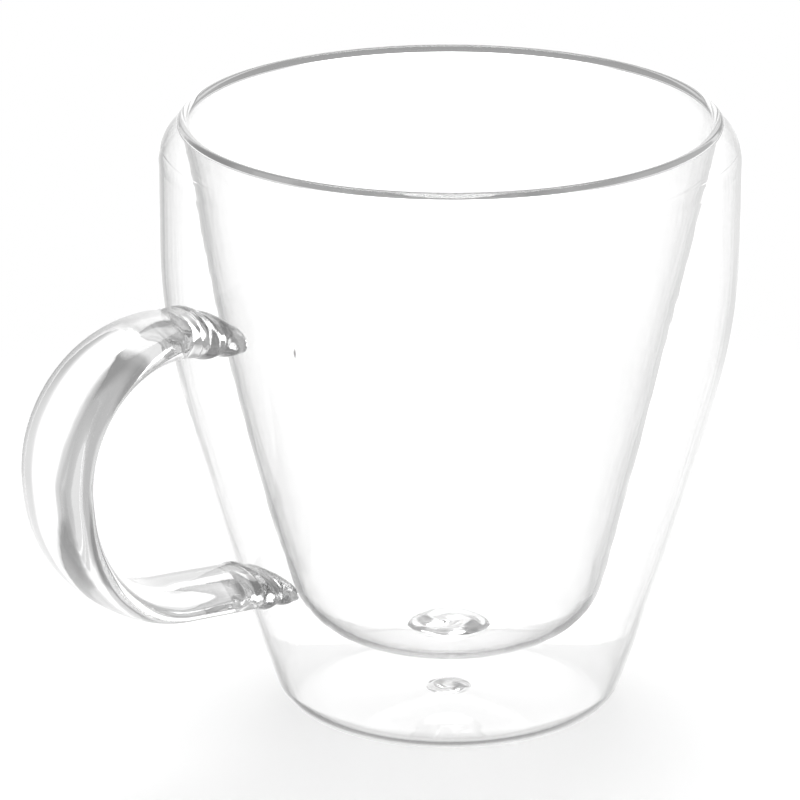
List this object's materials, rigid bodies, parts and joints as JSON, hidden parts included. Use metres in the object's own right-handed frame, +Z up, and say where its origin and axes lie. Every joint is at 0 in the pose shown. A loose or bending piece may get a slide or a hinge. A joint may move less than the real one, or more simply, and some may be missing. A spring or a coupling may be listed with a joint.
{
  "type": "double-walled glass cup",
  "caption": "Clear double-walled glass cup: a tapered outer wall and a hanging liner fused at a rounded lip, with a solid glass strap handle welded to the side.",
  "frame": {"origin": "centre of the foot ring on the plane that the cup stands on, on the cup's axis", "axes": "+Z up along the cup's axis, -X towards the handle"},
  "size_m": [0.1223, 0.09, 0.0956],
  "materials": {
    "wall_glass": "clear blown glass, fire-polished",
    "handle_glass": "clear solid glass, fire-polished",
    "fused_glass": "clear flame-worked glass with folds and swirls"
  },
  "bodies": {
    "root": {"outer_shell": "wall_glass", "inner_cup": "wall_glass", "rim_weld": "wall_glass", "handle": "handle_glass", "upper_handle_weld": "fused_glass", "lower_handle_weld": "fused_glass", "base_seal": "fused_glass", "liner_gather": "fused_glass"}
  },
  "joints": []
}
